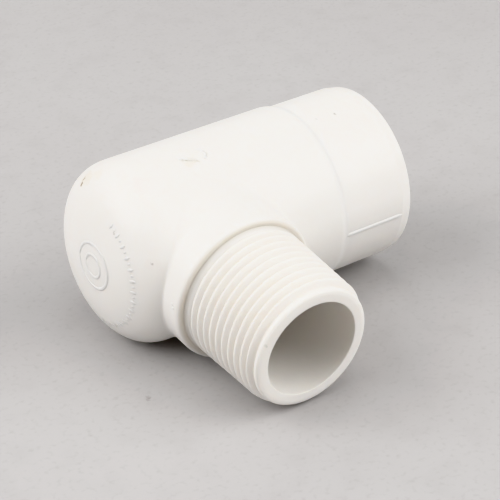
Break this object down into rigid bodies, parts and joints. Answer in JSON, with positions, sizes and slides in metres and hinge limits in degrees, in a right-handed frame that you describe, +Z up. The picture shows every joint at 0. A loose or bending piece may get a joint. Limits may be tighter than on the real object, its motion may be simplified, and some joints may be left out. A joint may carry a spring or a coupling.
{
  "type": "pvc pipe elbow",
  "caption": "White PVC irrigation elbow: a barrel with a domed closed end and an open pipe socket, and a side outlet with a male tapered pipe thread.",
  "frame": {"origin": "middle of the elbow's footprint, on the surface that it rests on", "axes": "+X along the barrel's axis, out of the pipe socket; the outlet leaves towards -Y and droops 7.44 degrees, so that the last thread touches the surface; +Z up"},
  "size_m": [0.0636, 0.061, 0.0359],
  "materials": {
    "body_pvc": "satin moulded white PVC",
    "socket_pvc": "satin moulded white PVC",
    "thread_pvc": "satin moulded white PVC, slightly creamier in the grooves"
  },
  "bodies": {
    "root": {"elbow_body": "body_pvc", "socket_end": "socket_pvc", "threaded_outlet": "thread_pvc"}
  },
  "joints": []
}
